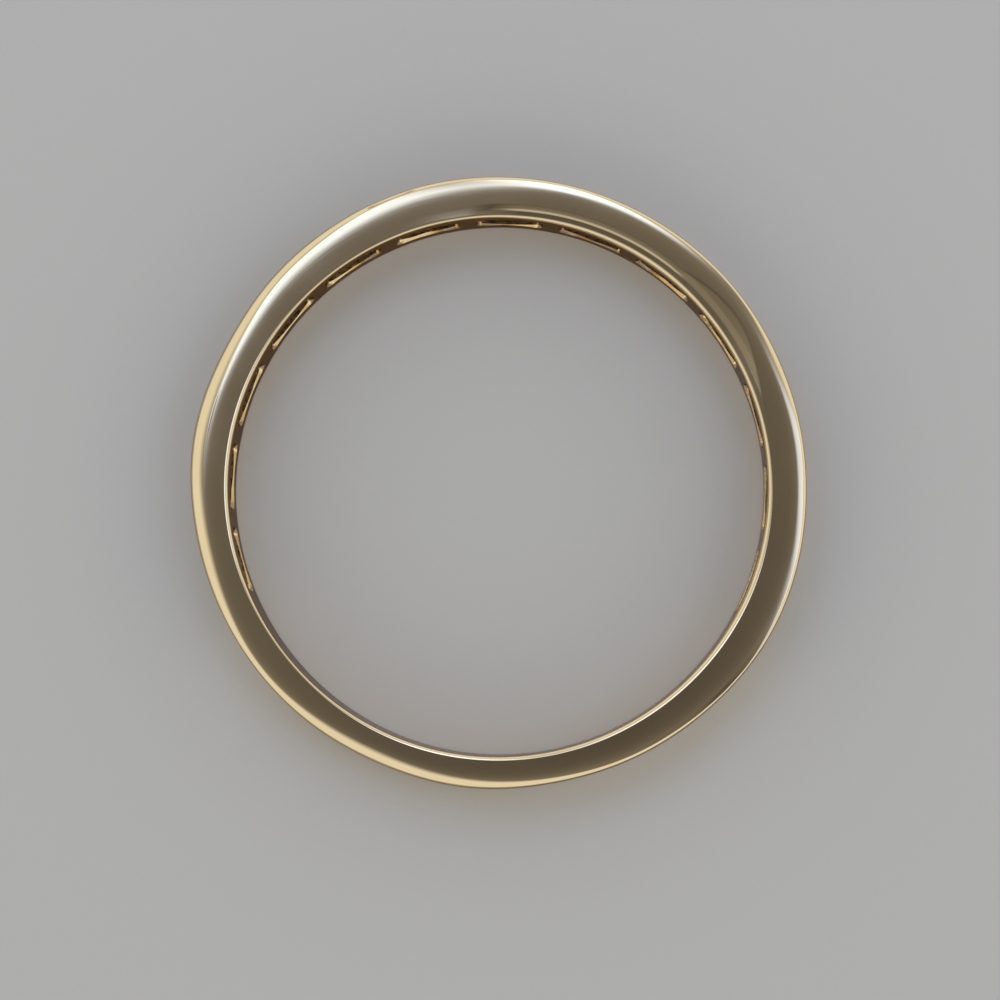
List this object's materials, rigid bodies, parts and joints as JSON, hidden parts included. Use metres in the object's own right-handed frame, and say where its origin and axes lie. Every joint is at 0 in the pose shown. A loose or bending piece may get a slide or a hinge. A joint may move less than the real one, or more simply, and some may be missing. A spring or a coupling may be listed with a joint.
{
  "type": "channel set band ring",
  "caption": "Yellow gold finger ring: a slim hoop with a row of step-cut baguettes held end to end in a channel, windows through its inner wall, and a plain slimmer shank.",
  "frame": {"origin": "on the axis of the finger hole, in the plane of the side that the ring lies on", "axes": "+Z along the finger, up out of the surface the ring lies on; +Y towards the middle of the row of stones"},
  "size_m": [0.0198, 0.0197, 0.0026],
  "materials": {
    "gold": "polished yellow gold",
    "stone": "clear cut stone"
  },
  "bodies": {
    "root": {"band": "gold", "stone_01": "stone", "stone_02": "stone", "stone_03": "stone", "stone_04": "stone", "stone_05": "stone", "stone_06": "stone", "stone_07": "stone", "stone_08": "stone", "stone_09": "stone", "stone_10": "stone", "stone_11": "stone", "stone_12": "stone", "stone_13": "stone"}
  },
  "joints": []
}
